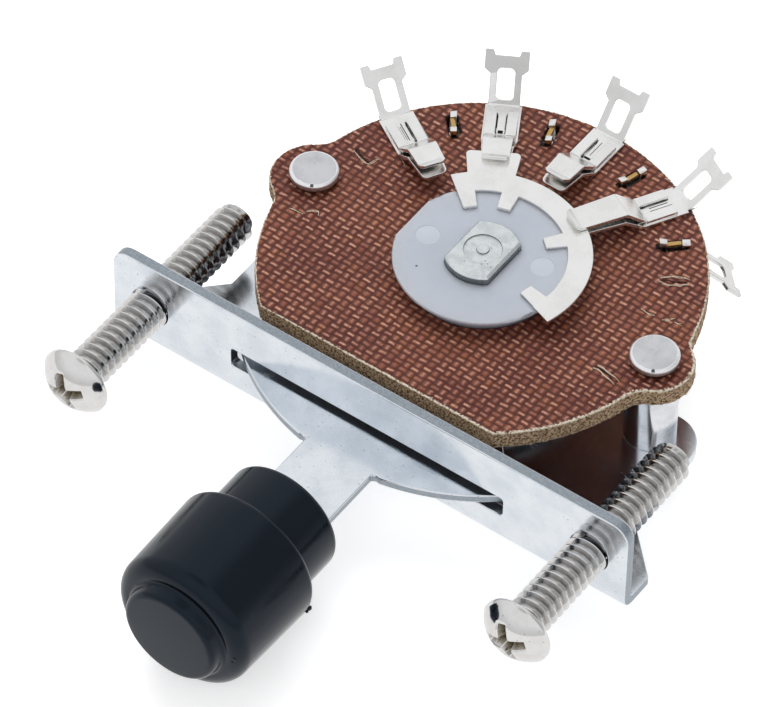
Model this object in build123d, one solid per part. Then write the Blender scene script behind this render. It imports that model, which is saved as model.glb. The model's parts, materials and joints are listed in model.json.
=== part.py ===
from build123d import *
from math import cos, radians, sin, sqrt
import os

# Three-position lever switch for an electric guitar, in millimetres.
# The origin is on the front face of the mounting strip, midway between its two tapped holes.
# X runs along the strip, Y points back from the strip to the pivot, Z points up through the wafer.

# Mounting frame, one folded steel stamping
hole_spacing = 41.3
strip_end = 3.45
strip_height = 9.2
sheet = 0.95
strip_corner = 1.5
inner_bend = 0.3
slot_end_play = 0.27
slot_play = 0.575
slot_corner = 0.35
shoulder_depth = 3.3
waist_width = 38.0
ear_width = 40.1
ear_front = 3.4
ear_back = 2.6
ear_corner = 2.9
tail_width = 24.0
tail_depth = 10.7
tail_corner = 2.0
spring_tab_width = 3.0
spring_tab_spacing = 19.4
spring_tab_height = 5.2
bend_zone = 0.01

# Lever, its shaft and knob
pivot_y = 15.3
blade_z = -0.45
blade_thickness = 0.8
fan_radius = 19.05
fan_half_angle = 42.0
tongue_width = 6.2
tongue_reach = 34.0
tongue_corner = 0.8
root_notch = 0.42
detent_radius = 8.6
detent_angle = 22.0
detent_depth = 0.5
hump_radius = 1.1
flank_fillet = 1.2
shaft_diameter = 6.1
shaft_flats = 4.1
shaft_above_rotor = 0.75
shaft_chamfer = 0.2
stake_diameter = 3.0
stake_boss = 1.0
stake_depth = 0.12
journal_diameter = 5.0
flange_diameter = 8.4
groove_depth = 0.5
groove_margin = 0.3
knob_back = 10.1
collar_length = 4.7
collar_diameter = 9.7
barrel_length = 9.05
barrel_diameter = 12.25
barrel_nose_diameter = 11.8
knob_nose_round = 1.3
knob_edge_round = 0.55
button_height = 1.15
button_root_diameter = 8.6
button_top_diameter = 8.2
button_cove = 0.35
button_edge = 0.5
socket_clearance = 0.05

# Washer, spacer and clip on the shaft
washer_diameter = 9.0
washer_thickness = 0.5
spacer_diameter = 8.0
clip_diameter = 8.2
clip_thickness = 0.5
clip_mouth = 3.2
clip_scallop = 0.55
clip_scallop_angles = (20, 160)

# Wafer, with its ears over the posts
wafer_margin = 0.55
wafer_trim = 0.65
wafer_thickness = 1.6
wafer_top = 4.6
wafer_flat_y = 1.95
ear_radii = (3.55, 3.2)
ear_fillet = 2.0
post_spacing = 32.06
post_diameter = 4.2
rivet_shank = 2.5
rivet_head = 3.95
rivet_head_height = 0.95
rivet_head_edge = 0.3
rivet_undercut = 0.45
rivet_tail = 3.5
rivet_tail_height = 0.55
rivet_tail_round = 0.33

# Rotor and contact rings
rotor_radius = 7.0
rotor_flat = 6.65
rotor_flange = 0.3
rotor_above_wafer = 1.4
rotor_edge = 0.1
hub_radius = 6.1
mark_radius = 4.7
mark_diameter = 1.9
mark_depth = 0.12
mark_angles = (-171, 22)
ring_inner = 6.55
ring_outer = 8.5
ring_thickness = 0.3
ring_start_angle = -19.5
ring_end_angle = 142.5
tab_angle = 120.5
tab_outer = 10.65
root_lap = 0.5
tab_root_width = 3.7
tab_tip_width = 4.4
tab_corner = 0.4
finger_inner = 4.9
finger_tip_width = 1.05
finger_root_width = 1.5
finger_depth = 0.4
finger_angles = (136.5, 106.0, 48.5, -13.0)

# Terminals, clips of silvered brass strip
terminal_angles = (148.8, 119.5, 89.4, 60.0)
lug_rise_angles = (45.0, 56.0, 51.0, 40.0)
lower_offset_angle = -15.0
lower_rise_angle = 45.0
clip_strip = 0.3
clip_width = 2.6
leaf_width = 2.5
leaf_tip_width = 2.15
lower_leaf_width = 2.9
lower_leaf_tip_width = 2.0
leaf_tip_corner = 0.45
jaw_step = 0.4
leaf_length = 3.6
leaf_ramp = 1.5
leaf_overlap = 1.15
leaf_bend = 0.3
leaf_lap = 0.5
common_overlap = 1.05
jaw_lead = 0.25
body_length = 3.5
bend_length = 0.5
bend_inner = 0.2
body_gap = 0.4
lug_length = 4.5
lug_arm_width = 2.5
lug_head_width = 3.5
lug_shoulder = 2.8
lug_flare = 0.2
lug_bar = 0.95
horn_width = 0.65
horn_taper = 0.15
eye_start = 0.52
eye_length = 2.58
eye_width = 1.42
eye_corner = 0.4
window_width = 0.86
window_margin = 0.5
window_corner = 0.3
staple_width = 0.62
staple_root = 0.2
slot_start = 0.9
slot_run = 2.2
prong_width = 0.7
prong_play = 0.1
prong_foot = 0.55

# Mounting screws, thread left to the finish
screw_major = 3.5
screw_grip = 9.1
screw_length = 20.7
screw_head_diameter = 5.9
screw_head_height = 2.0
screw_head_edge = 0.35
screw_point = 0.25
recess_span = 3.6
recess_wing = 0.95
recess_depth = 1.5
recess_draft_angle = 12.0
recess_turn_angle = 20.0

# Detent spring, a bowed leaf
leaf_spring_thickness = 0.35
leaf_spring_height = 2.0
hook_return = 1.9
leaf_spring_bend = 0.3

# Fits
running_clearance = 0.05
rotor_clearance = 0.08
thread_clearance = 0.02
pressed_clearance = 0.02
axial_clearance = 0.05

# Places worked out from the sizes above
strip_length = hole_spacing + 2 * strip_end
slot_half = sqrt(fan_radius ** 2 - (pivot_y - sheet) ** 2) + slot_end_play
slot_height = blade_thickness + 2 * slot_play
leaf_tip = tab_outer - leaf_overlap
common_tip = ring_outer - common_overlap
leaf_root = leaf_tip + leaf_length
leaf_knee = leaf_root - leaf_ramp
bend_radius = leaf_root + body_length + body_gap
slot_inner = leaf_root + slot_start
slot_outer = slot_inner + slot_run
wafer_radius = bend_radius + wafer_margin
strip_bottom = -strip_height / 2
floor_top = strip_bottom + sheet
wafer_bottom = wafer_top - wafer_thickness
wafer_middle = wafer_top - wafer_thickness / 2
blade_top = blade_z + blade_thickness / 2
blade_bottom = blade_z - blade_thickness / 2
rotor_top = wafer_top + rotor_above_wafer
rotor_bottom = wafer_bottom - rotor_above_wafer
washer_top = floor_top + washer_thickness
shaft_top = rotor_top + shaft_above_rotor
pivot = Location((0, pivot_y, 0))


def polar(radius, angle):
    return (radius * cos(radians(angle)), radius * sin(radians(angle)))


def sector(inner, outer, start, end):
    """Flat piece of a ring between two angles."""
    rim = CenterArc((0, 0), outer, start, end - start)
    bore = CenterArc((0, 0), inner, start, end - start)
    return make_face([rim, bore, Line(bore @ 0, rim @ 0), Line(bore @ 1, rim @ 1)])


def prism(face, bottom, top):
    """Face drawn on the XY plane, raised between two heights."""
    return extrude(Pos(0, 0, bottom) * face, amount=top - bottom, dir=(0, 0, 1))


def disc(radius, bottom, top):
    return prism(Circle(radius), bottom, top)


def flatted(clearance=0.0):
    """Section of the shaft's double flat, wider by the clearance all round."""
    round_part = Circle(shaft_diameter / 2 + clearance)
    return round_part & Rectangle(shaft_flats + 2 * clearance, 2 * shaft_diameter)


def strip_of(points, thickness, width, bend):
    """Thin strip that follows a line in the XZ plane and is as wide as given along Y."""
    line = FilletPolyline(points, radius=bend)
    return extrude(Plane.XZ * trace(line, thickness), amount=width / 2, both=True)


def mounting_frame():
    half = strip_length / 2
    outer_bend = inner_bend + sheet
    taper_end = shoulder_depth + half - waist_width / 2
    face = Rectangle(strip_length, strip_height)
    top_corners = face.vertices().group_by(Axis.Y)[-1]
    strip = extrude(Plane.XZ * fillet(top_corners, strip_corner), amount=-sheet)
    outline = [(-half, 0), (half, 0), (half, shoulder_depth), (waist_width / 2, taper_end)]
    outline += [(waist_width / 2, pivot_y), (-waist_width / 2, pivot_y)]
    outline += [(-waist_width / 2, taper_end), (-half, shoulder_depth)]
    plan = Polygon(*outline, align=None)
    ear_length = ear_front + ear_back
    ears = Rectangle(ear_width, ear_length)
    ears = fillet(ears.vertices(), ear_corner)
    plan += Pos(0, pivot_y + (ear_back - ear_front) / 2) * ears
    tail = Rectangle(tail_width, tail_depth, align=(Align.CENTER, Align.MIN))
    plan += Pos(0, pivot_y) * fillet(tail.vertices().group_by(Axis.Y)[-1], tail_corner)
    frame = strip + prism(plan, strip_bottom, floor_top)
    frame += spring_tabs()
    along = frame.edges().filter_by(Axis.X)
    inside = along.filter_by_position(Axis.Z, floor_top - bend_zone, floor_top + bend_zone)
    inside = inside.filter_by_position(Axis.Y, sheet - bend_zone, sheet + bend_zone)
    frame = fillet(inside, inner_bend)
    outside = frame.edges().filter_by(Axis.X).filter_by_position(Axis.Y, -bend_zone, bend_zone)
    frame = fillet(outside.sort_by(Axis.Z)[0], outer_bend)
    slot = fillet(Rectangle(2 * slot_half, slot_height).vertices(), slot_corner)
    frame -= extrude(Plane.XZ * Pos(0, blade_z) * slot, amount=-sheet - inner_bend)
    for side in (-1, 1):
        tapped = Circle(screw_major / 2)
        frame -= extrude(Plane.XZ * Pos(side * hole_spacing / 2, 0) * tapped, amount=-2 * sheet)
        rivet_hole = disc(rivet_shank / 2 + pressed_clearance, strip_bottom, floor_top)
        frame -= Pos(side * post_spacing / 2, pivot_y) * rivet_hole
    frame -= pivot * disc(journal_diameter / 2 + running_clearance, strip_bottom, floor_top)
    return frame


def spring_tabs():
    """Two tabs folded up from the tail's back edge, which hold the ends of the detent spring."""
    tabs = Part()
    back = pivot_y + tail_depth
    for side in (-1, 1):
        tab = Box(spring_tab_width, sheet, spring_tab_height, align=(Align.CENTER, Align.MAX, Align.MIN))
        tabs += Pos(side * spring_tab_spacing / 2, back, strip_bottom) * tab
    return tabs


def detent_notches():
    """Three round notches in the back edge of the lever, one for each position."""
    centre = detent_radius - detent_depth + hump_radius
    notches = Sketch()
    for angle in (90 - detent_angle, 90, 90 + detent_angle):
        notches += Pos(*polar(centre, angle)) * Circle(hump_radius + running_clearance)
    return notches


def lever_blade():
    fan = sector(shaft_diameter / 2, fan_radius, -90 - fan_half_angle, -90 + fan_half_angle)
    cam = Circle(detent_radius)
    plate = fan + cam
    halfway = (detent_radius + fan_radius) / 2
    flanks = plate.vertices().filter_by(lambda v: sqrt(v.X ** 2 + v.Y ** 2) < halfway)
    plate = fillet(flanks.filter_by(lambda v: abs(v.X) > shaft_diameter / 2), flank_fillet)
    tongue = Rectangle(tongue_width, tongue_reach, align=(Align.CENTER, Align.MAX))
    plate += fillet(tongue.vertices().group_by(Axis.Y)[0], tongue_corner)
    for side in (-1, 1):
        plate -= Pos(side * (tongue_width / 2 + root_notch), -fan_radius) * Circle(root_notch)
    plate -= detent_notches()
    plate -= flatted(pressed_clearance)
    return pivot * prism(plate, blade_bottom, blade_top)


def lever_knob():
    """Push-on knob in steps: a collar at the back, a large barrel, and a low button on its rounded nose."""
    back = -knob_back
    step = back - collar_length
    collar = extrude(Plane.XZ.offset(-back) * Circle(collar_diameter / 2), amount=collar_length)
    collar = fillet(collar.edges().sort_by(Axis.Y)[-1], knob_edge_round)
    shoulder = step - barrel_length
    nose = shoulder - button_height
    corners = [(0, step), (barrel_diameter / 2, step), (barrel_nose_diameter / 2, shoulder)]
    corners += [(button_root_diameter / 2, shoulder), (button_top_diameter / 2, nose), (0, nose)]
    rounds = [knob_edge_round, knob_nose_round, button_cove, button_edge]
    outline = FilletPolyline(corners, radius=rounds)
    barrel = revolve(make_face([outline, Line((0, nose), (0, step))]), Axis.Y)
    socket_end = pivot_y - tongue_reach - socket_clearance
    socket = Box(tongue_width + 2 * socket_clearance, back - socket_end,
                 blade_thickness + 2 * socket_clearance, align=(Align.CENTER, Align.MAX, Align.CENTER))
    return Pos(0, 0, blade_z) * (collar + barrel - Pos(0, back, 0) * socket)


def pivot_shaft():
    """Journal in the frame floor, flange under the lever, double flat up to the staked end."""
    groove_top = strip_bottom - axial_clearance
    groove_bottom = groove_top - clip_thickness - axial_clearance
    end = groove_bottom - groove_margin
    journal = disc(journal_diameter / 2, end, washer_top + axial_clearance)
    flange = disc(flange_diameter / 2, washer_top + axial_clearance, blade_bottom)
    spindle = prism(flatted(), blade_bottom, shaft_top)
    spindle = chamfer(spindle.edges().group_by(Axis.Z)[-1], shaft_chamfer)
    groove = Circle(journal_diameter) - Circle(journal_diameter / 2 - groove_depth)
    shaft = journal + flange + spindle - prism(groove, groove_bottom, groove_top)
    stake = Circle(stake_diameter / 2) - Circle(stake_boss / 2)
    return pivot * (shaft - prism(stake, shaft_top - stake_depth, shaft_top))


def retaining_clip():
    """Snap ring in the groove below the frame."""
    bore = journal_diameter / 2 - groove_depth + running_clearance
    top = strip_bottom - axial_clearance - axial_clearance / 2
    ring = Circle(clip_diameter / 2) - Circle(bore)
    ring -= Rectangle(clip_mouth, clip_diameter, align=(Align.CENTER, Align.MAX))
    for angle in clip_scallop_angles:
        ring -= Pos(*polar(bore, angle)) * Circle(clip_scallop)
    return pivot * prism(ring, top - clip_thickness, top)


def thrust_washer():
    ring = Circle(washer_diameter / 2) - Circle(journal_diameter / 2 + running_clearance)
    return pivot * prism(ring, floor_top, washer_top)


def shaft_spacer():
    ring = Circle(spacer_diameter / 2) - flatted(pressed_clearance)
    return pivot * prism(ring, blade_top, rotor_bottom)


def rotor_half(turn=0.0):
    """Upper half of the nylon rotor: thin flange with two flats, and half of the hub in the wafer's hole."""
    flange = Circle(rotor_radius) & Rectangle(2 * rotor_flat, 3 * rotor_radius)
    half = prism(flange, rotor_top - rotor_flange, rotor_top)
    half = fillet(half.edges().group_by(Axis.Z)[-1], rotor_edge)
    half += disc(hub_radius, wafer_middle, rotor_top - rotor_flange)
    half -= prism(flatted(pressed_clearance), wafer_middle, rotor_top)
    for angle in mark_angles:
        mark = Pos(*polar(mark_radius, angle)) * Circle(mark_diameter / 2)
        half -= prism(mark, rotor_top - mark_depth, rotor_top)
    pocket = Rectangle(ring_thickness + 2 * pressed_clearance, finger_tip_width + 2 * pressed_clearance)
    for angle in finger_angles:
        place = Rot(Z=angle + turn) * Pos(finger_inner + ring_thickness / 2, 0)
        half -= prism(place * pocket, rotor_top - finger_depth - pressed_clearance, rotor_top)
    return pivot * half


def upside_down(piece):
    """The same piece on the other face of the wafer."""
    return mirror(piece, about=Plane.XY.offset(wafer_middle))


def ring_outline():
    ring = sector(ring_inner, ring_outer, ring_start_angle, ring_end_angle)
    tab = Polygon((ring_outer - root_lap, -tab_root_width / 2), (tab_outer, -tab_tip_width / 2),
                  (tab_outer, tab_tip_width / 2), (ring_outer - root_lap, tab_root_width / 2), align=None)
    tab = fillet(tab.vertices().group_by(Axis.X)[-1], tab_corner)
    ring += Rot(Z=tab_angle) * tab
    for angle in finger_angles:
        root = ring_inner + root_lap
        finger = Polygon((finger_inner, -finger_tip_width / 2), (root, -finger_root_width / 2),
                         (root, finger_root_width / 2), (finger_inner, finger_tip_width / 2), align=None)
        ring += Rot(Z=angle) * finger
    return ring


def contact_ring(turn=0.0):
    """Ring on the upper rotor half, its finger tips bent down into the nylon."""
    ring = prism(ring_outline(), rotor_top, rotor_top + ring_thickness)
    tip = Box(ring_thickness, finger_tip_width, finger_depth, align=(Align.MIN, Align.CENTER, Align.MAX))
    for angle in finger_angles:
        ring += Rot(Z=angle) * Pos(finger_inner, 0, rotor_top) * tip
    return pivot * Rot(Z=turn) * ring


def wafer_outline():
    """Disc with an ear at each side, trimmed closer at its front right and cut flat behind the strip."""
    quarter = Rectangle(2 * wafer_radius, 2 * wafer_radius, align=(Align.MIN, Align.MAX))
    board = Circle(wafer_radius) - (quarter - Circle(wafer_radius - wafer_trim))
    for side, radius in zip((-1, 1), ear_radii):
        board += Pos(side * post_spacing / 2, 0) * Circle(radius)
    corners = board.vertices().filter_by(lambda v: abs(v.X) > post_spacing / 2)
    board = fillet(corners.filter_by(lambda v: abs(v.Y) > ear_fillet), ear_fillet)
    front = Pos(0, wafer_flat_y - pivot_y) * Rectangle(3 * wafer_radius, wafer_radius,
                                                       align=(Align.CENTER, Align.MAX))
    return board - front


def contact_wafer():
    board = wafer_outline() - Circle(hub_radius + rotor_clearance)
    for side in (-1, 1):
        board -= Pos(side * post_spacing / 2, 0) * Circle(rivet_shank / 2 + pressed_clearance)
    length = slot_outer - slot_inner
    for offset in (0, lower_offset_angle):
        for angle in terminal_angles:
            slot = Pos((slot_inner + slot_outer) / 2, 0) * Rectangle(length, prong_width + 2 * prong_play)
            board -= Rot(Z=angle + offset) * slot
    return pivot * prism(board, wafer_bottom, wafer_top)


def spacer_post(side):
    tube = Circle(post_diameter / 2) - Circle(rivet_shank / 2 + pressed_clearance)
    return Pos(side * post_spacing / 2, pivot_y) * prism(tube, floor_top, wafer_bottom)


def wafer_rivet(side):
    """Flat head with a rounded rim on the wafer, clenched tail under the frame."""
    shank = disc(rivet_shank / 2, strip_bottom, wafer_top)
    head = disc(rivet_head / 2, wafer_top, wafer_top + rivet_head_height)
    head = fillet(head.edges().group_by(Axis.Z)[-1], rivet_head_edge)
    head = fillet(head.edges().group_by(Axis.Z)[0], rivet_undercut)
    tail = disc(rivet_tail / 2, strip_bottom - rivet_tail_height, strip_bottom)
    tail = fillet(tail.edges().group_by(Axis.Z)[0], rivet_tail_round)
    return Pos(side * post_spacing / 2, pivot_y) * (shank + head + tail)


def lug_plate():
    """Soldering lug drawn flat: two arms round an eye, a wider head and two horns."""
    arm = lug_arm_width / 2
    head = lug_head_width / 2
    bar_end = eye_start + eye_length + lug_bar
    inner = head - horn_width
    half = [(bend_length, arm), (lug_shoulder - lug_flare, arm), (lug_shoulder + lug_flare, head)]
    half += [(lug_length, head), (lug_length, inner), (bar_end, inner - horn_taper)]
    mirrored = [(x, -y) for x, y in reversed(half)]
    plate = Polygon(*half, *mirrored, align=None)
    eye = Rectangle(eye_length, eye_width, align=(Align.MIN, Align.CENTER))
    plate -= Pos(eye_start, 0) * fillet(eye.vertices(), eye_corner)
    return extrude(plate, amount=clip_strip / 2, both=True)


def prongs():
    """Two prongs through the wafer slot, with their feet bent outwards on the far side."""
    far = wafer_thickness + axial_clearance
    pair = Part()
    for place, outward in ((slot_inner + axial_clearance, -1), (slot_outer - axial_clearance, 1)):
        start = Align.MIN if outward < 0 else Align.MAX
        stem = Box(clip_strip, prong_width, far + 2 * clip_strip, align=(start, Align.CENTER, Align.MAX))
        foot_align = Align.MAX if outward < 0 else Align.MIN
        foot = Box(prong_foot, prong_width, clip_strip, align=(foot_align, Align.CENTER, Align.MAX))
        pair += Pos(place, 0, clip_strip) * stem
        pair += Pos(place, 0, -far) * foot
    return pair


def leaf_plan(tip, tip_width, root_width):
    """Plan of a spring leaf, which narrows from the body to a tip with rounded corners."""
    side = [(tip, -tip_width / 2), (leaf_root, -root_width / 2), (bend_radius, -root_width / 2)]
    plan = Polygon(*side, *[(x, -y) for x, y in reversed(side)], align=None)
    plan = fillet(plan.vertices().group_by(Axis.X)[0], leaf_tip_corner)
    return prism(plan, -wafer_thickness, 2 * rotor_above_wafer)


def terminal(tip, lug_rise):
    """One clip on the wafer's surface, X outward from the pivot: two leaves, body, staple and lug."""
    under = rotor_above_wafer - axial_clearance - clip_strip / 2
    over = rotor_above_wafer + ring_thickness + axial_clearance + clip_strip / 2
    low = clip_strip / 2
    lap_start = bend_radius - body_gap - leaf_lap
    lower_line = [(bend_radius, low), (leaf_root, low), (leaf_knee, under), (tip - jaw_step, under)]
    lower = strip_of(lower_line, clip_strip, lower_leaf_width, leaf_bend)
    lower = lower & leaf_plan(tip - jaw_step, lower_leaf_tip_width, lower_leaf_width)
    upper_line = [(lap_start, low + clip_strip), (leaf_root + clip_strip, low + clip_strip)]
    upper_line += [(leaf_knee + clip_strip / 2, over), (tip + leaf_lap, over), (tip, over + jaw_lead)]
    upper = strip_of(upper_line, clip_strip, leaf_width, leaf_bend)
    upper = upper & leaf_plan(tip, leaf_tip_width, leaf_width)
    flat_on = (Align.MIN, Align.CENTER, Align.MIN)
    body = Pos(leaf_root, 0, 0) * Box(body_length, clip_width, clip_strip, align=flat_on)
    fold_length = body_length - clip_strip - leaf_lap
    fold = Box(fold_length, clip_width, clip_strip, align=flat_on)
    body += Pos(leaf_root + clip_strip, 0, clip_strip) * fold
    clip = lower + upper + body
    middle = (slot_inner + slot_outer) / 2
    window_length = slot_outer - slot_inner + 2 * window_margin
    window = Pos(middle, 0) * fillet(Rectangle(window_length, window_width).vertices(), window_corner)
    clip -= prism(window, 0, 2 * clip_strip)
    staple_length = window_length + 2 * staple_root
    staple = Box(staple_length, staple_width, clip_strip, align=(Align.CENTER, Align.CENTER, Align.MIN))
    clip += Pos(middle, 0, 0) * staple
    clip += prongs()
    rise = (bend_length * cos(radians(lug_rise)), bend_length * sin(radians(lug_rise)))
    bend_line = [(bend_radius + rise[0], low + rise[1]), (bend_radius, low), (lap_start, low)]
    clip += strip_of(bend_line, clip_strip, lug_arm_width, bend_inner + clip_strip / 2)
    clip += Pos(bend_radius, 0, low) * Rot(Y=-lug_rise) * lug_plate()
    return clip


def upper_terminal(index):
    tip = common_tip if index == len(terminal_angles) - 1 else leaf_tip
    seat = Pos(0, pivot_y, wafer_top) * Rot(Z=terminal_angles[index])
    return seat * terminal(tip, lug_rise_angles[index])


def lower_terminal(index):
    tip = common_tip if index == len(terminal_angles) - 1 else leaf_tip
    seat = Pos(0, pivot_y, wafer_bottom) * Rot(Z=terminal_angles[index] + lower_offset_angle) * Rot(X=180)
    return seat * terminal(tip, lower_rise_angle)


def mounting_screw(side):
    """Machine screw with a domed head and a cross recess, half way into its tapped hole."""
    radius = screw_head_diameter / 2
    dome_rise = screw_head_height - screw_head_edge
    dome = (radius ** 2 + dome_rise ** 2) / (2 * dome_rise)
    profile = [(0, 0), (radius, 0), (radius, screw_head_edge)]
    arc = RadiusArc((radius, screw_head_edge), (0, screw_head_height), -dome)
    face = make_face([Line(profile[0], profile[1]), Line(profile[1], profile[2]), arc,
                      Line((0, screw_head_height), (0, 0))])
    head = revolve(Plane.XZ * face, Axis.Z)
    cross = Rectangle(recess_span, recess_wing) + Rectangle(recess_wing, recess_span)
    cross = Pos(0, 0, screw_head_height) * Rot(Z=recess_turn_angle) * cross
    head -= extrude(cross, amount=-recess_depth, taper=recess_draft_angle)
    free = disc(screw_major / 2, -screw_grip, 0)
    engaged = disc(screw_major / 2 - thread_clearance, -screw_length, -screw_grip)
    engaged = chamfer(engaged.edges().group_by(Axis.Z)[0], screw_point)
    return Pos(side * hole_spacing / 2, -screw_grip, 0) * Rot(X=90) * (head + free + engaged)


def detent_spring():
    """Leaf bowed between the two tabs of the frame, with a hump that sits in the middle notch."""
    half = leaf_spring_thickness / 2
    tab_front = pivot_y + tail_depth - sheet
    line_y = tab_front - running_clearance - half
    tab_outside = spring_tab_spacing / 2 + spring_tab_width / 2 + running_clearance + half
    behind = pivot_y + tail_depth + running_clearance + half
    hump_y = pivot_y + detent_radius - detent_depth + axial_clearance + half
    hump_bend = hump_radius - leaf_spring_thickness
    apex_y = hump_y - hump_bend * (sqrt(2) - 1)
    side = [(line_y - apex_y, line_y), (tab_outside, line_y)]
    side += [(tab_outside, behind), (tab_outside - hook_return, behind)]
    points = [(-x, y) for x, y in reversed(side)] + [(0, apex_y)] + side
    corner = leaf_spring_bend
    radii = [corner, corner, hump_bend, hump_bend, hump_bend, corner, corner]
    leaf = trace(FilletPolyline(points, radius=radii), leaf_spring_thickness)
    return prism(leaf, blade_z - leaf_spring_height / 2, blade_z + leaf_spring_height / 2)


parts = {
    "mounting_frame": mounting_frame(),
    "lever_blade": lever_blade(),
    "lever_knob": lever_knob(),
    "pivot_shaft": pivot_shaft(),
    "retaining_clip": retaining_clip(),
    "thrust_washer": thrust_washer(),
    "shaft_spacer": shaft_spacer(),
    "upper_rotor_half": rotor_half(),
    "lower_rotor_half": upside_down(rotor_half(lower_offset_angle)),
    "upper_contact_ring": contact_ring(),
    "lower_contact_ring": upside_down(contact_ring(lower_offset_angle)),
    "contact_wafer": contact_wafer(),
    "detent_spring": detent_spring(),
}
for name, side in (("left", -1), ("right", 1)):
    parts["spacer_post_" + name] = spacer_post(side)
    parts["wafer_rivet_" + name] = wafer_rivet(side)
    parts["mounting_screw_" + name] = mounting_screw(side)
for index in range(len(terminal_angles)):
    parts["upper_terminal_" + str(index + 1)] = upper_terminal(index)
    parts["lower_terminal_" + str(index + 1)] = lower_terminal(index)

os.makedirs("parts", exist_ok=True)
for name, solid in parts.items():
    export_step(solid, "parts/" + name + ".step")
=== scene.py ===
import json
import math
import random

import bpy
from mathutils import Matrix, Vector
from mathutils.kdtree import KDTree

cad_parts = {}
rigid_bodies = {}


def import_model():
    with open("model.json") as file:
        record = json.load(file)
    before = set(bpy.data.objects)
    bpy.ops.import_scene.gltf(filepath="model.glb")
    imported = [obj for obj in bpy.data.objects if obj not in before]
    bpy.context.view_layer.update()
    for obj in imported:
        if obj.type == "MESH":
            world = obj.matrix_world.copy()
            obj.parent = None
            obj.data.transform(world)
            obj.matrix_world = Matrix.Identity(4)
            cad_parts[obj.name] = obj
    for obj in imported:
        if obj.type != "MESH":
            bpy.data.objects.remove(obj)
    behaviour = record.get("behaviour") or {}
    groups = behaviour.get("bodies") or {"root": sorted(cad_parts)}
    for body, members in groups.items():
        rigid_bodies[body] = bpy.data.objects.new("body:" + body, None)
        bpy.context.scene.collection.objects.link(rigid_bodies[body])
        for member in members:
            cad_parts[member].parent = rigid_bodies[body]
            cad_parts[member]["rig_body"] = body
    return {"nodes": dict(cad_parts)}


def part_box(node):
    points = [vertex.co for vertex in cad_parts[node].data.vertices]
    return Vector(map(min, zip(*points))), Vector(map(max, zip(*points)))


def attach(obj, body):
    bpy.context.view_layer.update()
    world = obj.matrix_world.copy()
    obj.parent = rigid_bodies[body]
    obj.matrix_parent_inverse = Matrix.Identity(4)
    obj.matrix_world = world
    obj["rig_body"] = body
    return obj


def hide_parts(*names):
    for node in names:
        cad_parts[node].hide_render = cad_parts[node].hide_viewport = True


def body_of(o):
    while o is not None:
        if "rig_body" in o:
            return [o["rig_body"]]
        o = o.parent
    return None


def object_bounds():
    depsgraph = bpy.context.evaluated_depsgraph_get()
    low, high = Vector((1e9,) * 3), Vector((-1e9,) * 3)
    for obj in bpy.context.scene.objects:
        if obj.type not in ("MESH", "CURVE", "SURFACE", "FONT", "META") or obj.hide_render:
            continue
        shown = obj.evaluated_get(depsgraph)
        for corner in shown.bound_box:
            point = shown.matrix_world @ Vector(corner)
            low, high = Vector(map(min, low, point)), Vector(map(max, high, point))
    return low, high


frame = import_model()
cad_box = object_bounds()
mm = 0.001

# Mounting frame
# One stamping of zinc plated steel: a strip with a slot and two tapped holes, folded back into a floor
# plate. The plating is bright and bluish, with faint clouds, fine scratches and softly rounded edges.


def only(piece):
    """Selects one piece and makes it the active one."""
    bpy.ops.object.select_all(action='DESELECT')
    piece.select_set(True)
    bpy.context.view_layer.objects.active = piece


def apply_modifiers(piece):
    only(piece)
    for modifier in list(piece.modifiers):
        bpy.ops.object.modifier_apply(modifier=modifier.name)


def joined_copy(node, name):
    """Copy of a solid's mesh with its loose triangles joined and its flat faces made whole."""
    piece = bpy.data.objects.new(name, frame["nodes"][node].data.copy())
    bpy.context.collection.objects.link(piece)
    only(piece)
    bpy.ops.mesh.customdata_custom_splitnormals_clear()
    bpy.ops.object.mode_set(mode='EDIT')
    bpy.ops.mesh.select_all(action='SELECT')
    bpy.ops.mesh.remove_doubles(threshold=0.001 * mm)
    bpy.ops.mesh.dissolve_limited(angle_limit=math.radians(0.5))
    bpy.ops.object.mode_set(mode='OBJECT')
    return piece


def break_edges(piece, width):
    """Rounds the sharp edges of a stamped or turned piece and keeps its flat faces flat."""
    bevel = piece.modifiers.new("broken_edges", 'BEVEL')
    bevel.width = width
    bevel.segments = 2
    bevel.limit_method = 'ANGLE'
    bevel.angle_limit = math.radians(35)
    bevel.use_clamp_overlap = False
    apply_modifiers(piece)
    bpy.ops.object.shade_smooth_by_angle(angle=math.radians(48))
    weighted = piece.modifiers.new("flat_faces", 'WEIGHTED_NORMAL')
    weighted.keep_sharp = True
    apply_modifiers(piece)


def stands_for(piece, node, material):
    """The finished piece takes the place of a solid, on the same body."""
    piece.data.materials.clear()
    piece.data.materials.append(material)
    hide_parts(node)
    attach(piece, body_of(frame["nodes"][node])[0])
    return piece


def mark_faces(piece, name, share_of):
    """Keeps a share from 0 to 1 for each face, under a name that the materials read."""
    attribute = piece.data.attributes.new(name, 'FLOAT', 'CORNER')
    for face in piece.data.polygons:
        share = share_of(face)
        for corner in face.loop_indices:
            attribute.data[corner].value = share


def metal_piece(node, material, edge, cut=None):
    """A metal solid with its edges broken. The faces that cut picks, by middle and normal, take the cut-edge
    colour, which on the rivet rims is a painted highlight.
    """
    piece = joined_copy(node, node + "_finished")
    break_edges(piece, edge)
    if cut:
        mark_faces(piece, "cut_edge_and_painted_light", lambda face: float(cut(face.center, face.normal)))
    return stands_for(piece, node, material)


def node_in(tree, kind, sockets=(), **settings):
    """Adds a node. Each socket is given a value, or another node's output that it is linked to."""
    node = tree.nodes.new(kind)
    for setting, value in settings.items():
        setattr(node, setting, value)
    for socket, value in sockets:
        if isinstance(value, bpy.types.NodeSocket):
            tree.links.new(value, node.inputs[socket])
        else:
            node.inputs[socket].default_value = value
    return node


def reckon(tree, operation, *values):
    return node_in(tree, "ShaderNodeMath", list(enumerate(values)), operation=operation).outputs[0]


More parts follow.
